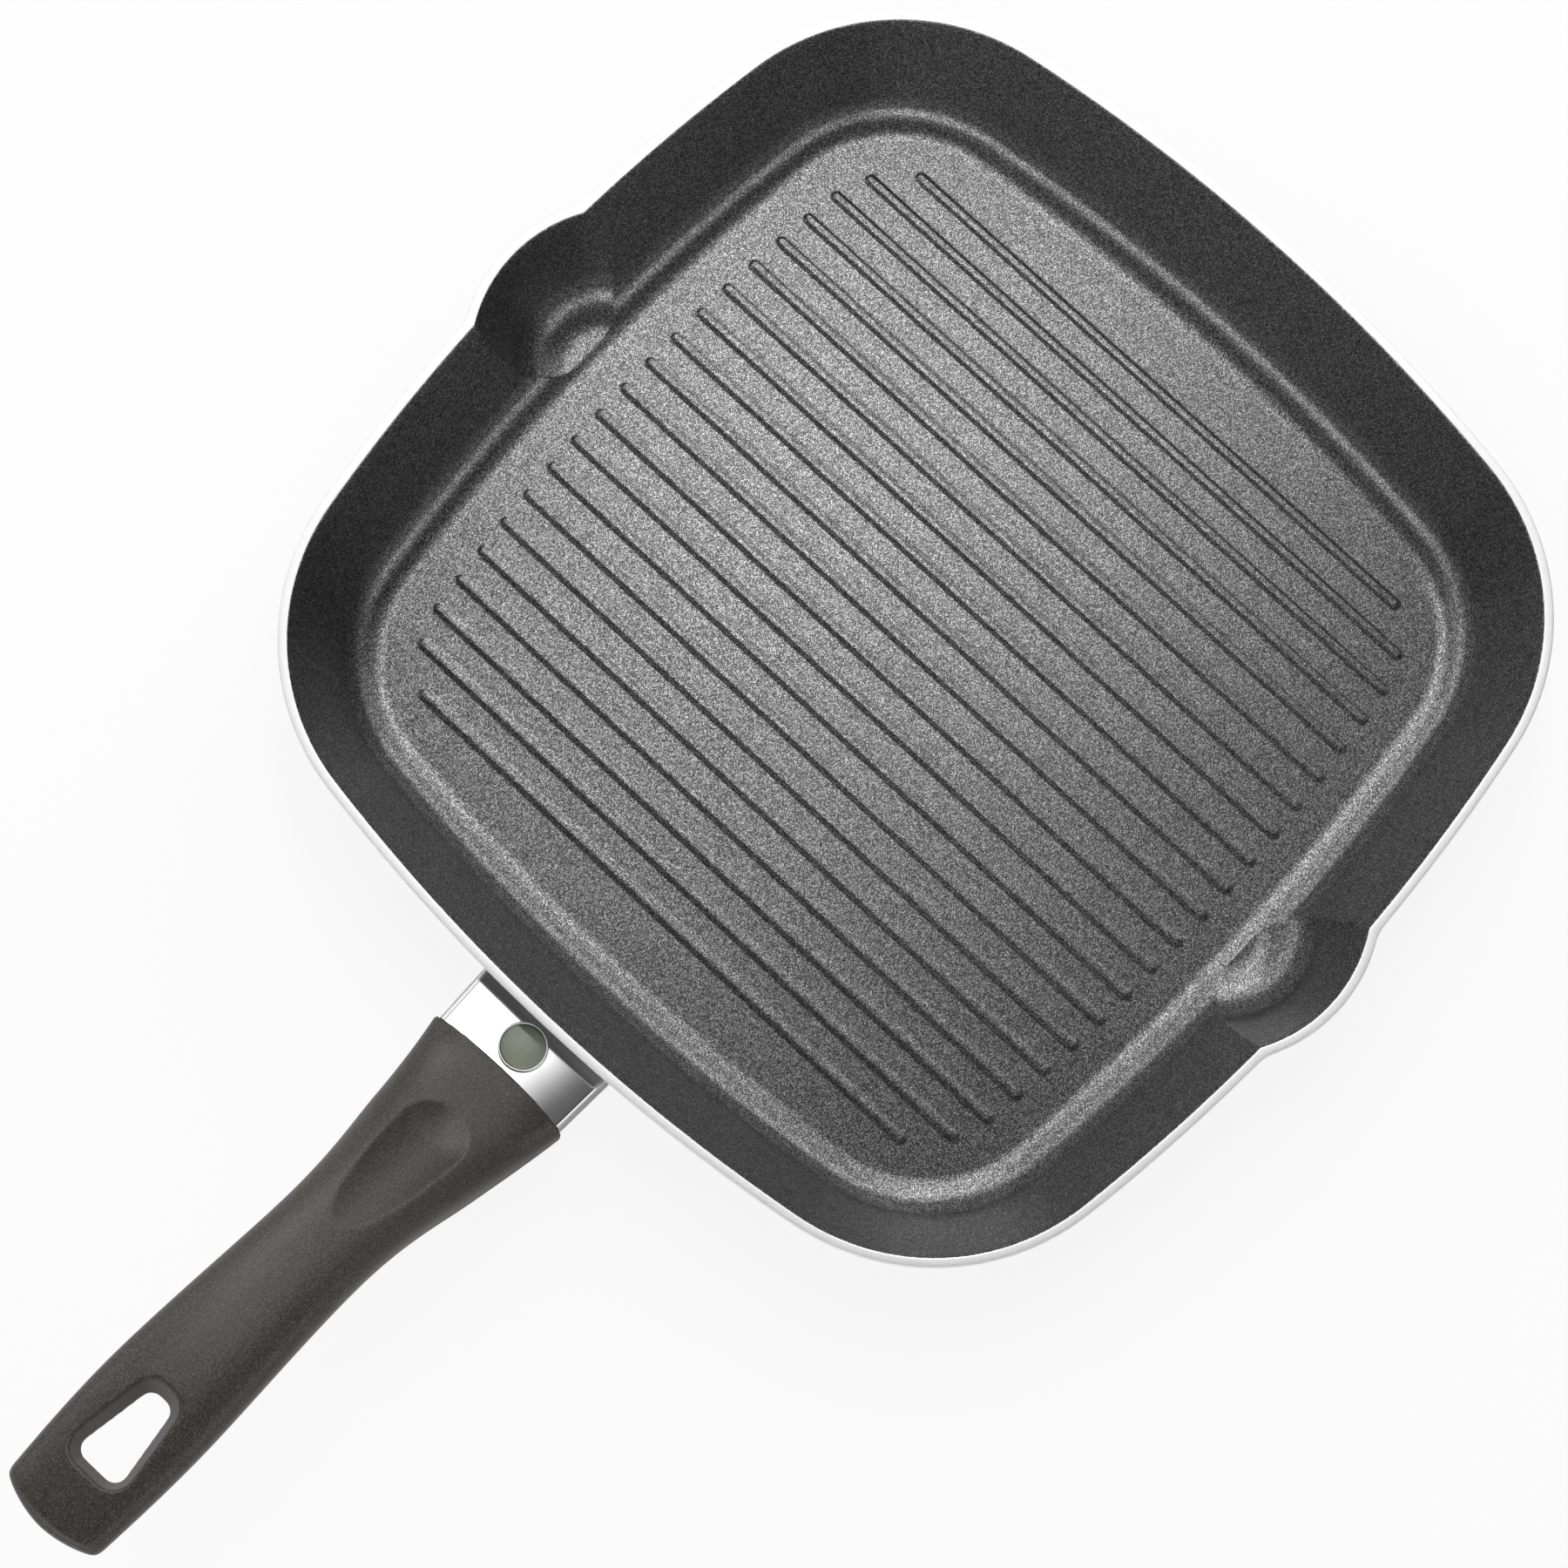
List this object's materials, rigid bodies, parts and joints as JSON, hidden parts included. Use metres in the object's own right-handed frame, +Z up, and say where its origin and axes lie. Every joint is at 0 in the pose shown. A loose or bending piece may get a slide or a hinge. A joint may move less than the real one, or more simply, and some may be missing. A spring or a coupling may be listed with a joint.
{
  "type": "grill pan",
  "caption": "Square ribbed grill pan with pouring spouts, a speckled dark non-stick inside, a polished flame guard with a heat indicator, and a moulded handle with a hanging hole.",
  "frame": {"origin": "middle of the base, on the surface that the pan stands on", "axes": "+Z up out of the pan, -X along the handle, +Y towards one of the two spouts"},
  "size_m": [0.4447, 0.2898, 0.0919],
  "materials": {
    "pan": "speckled charcoal non-stick coating inside, dark lacquer outside, bare machined rim and base",
    "bracket": "plain mill finish",
    "guard": "mirror-polished stainless steel",
    "seal": "matt silicone",
    "indicator": "grey-green thermochromic ink",
    "window": "clear glossy",
    "grip": "fine-grained dark phenolic moulding",
    "fastener": "bright zinc plate"
  },
  "bodies": {
    "root": {"pan_body": "pan", "handle_bracket": "bracket", "flame_guard": "guard", "heat_conductor": "bracket", "indicator_seal": "seal", "thermochromic_disc": "indicator", "indicator_window": "window", "indicator_bezel": "guard", "handle_grip": "grip", "handle_screw": "fastener", "flat_washer": "fastener", "spring_washer": "fastener"}
  },
  "joints": []
}
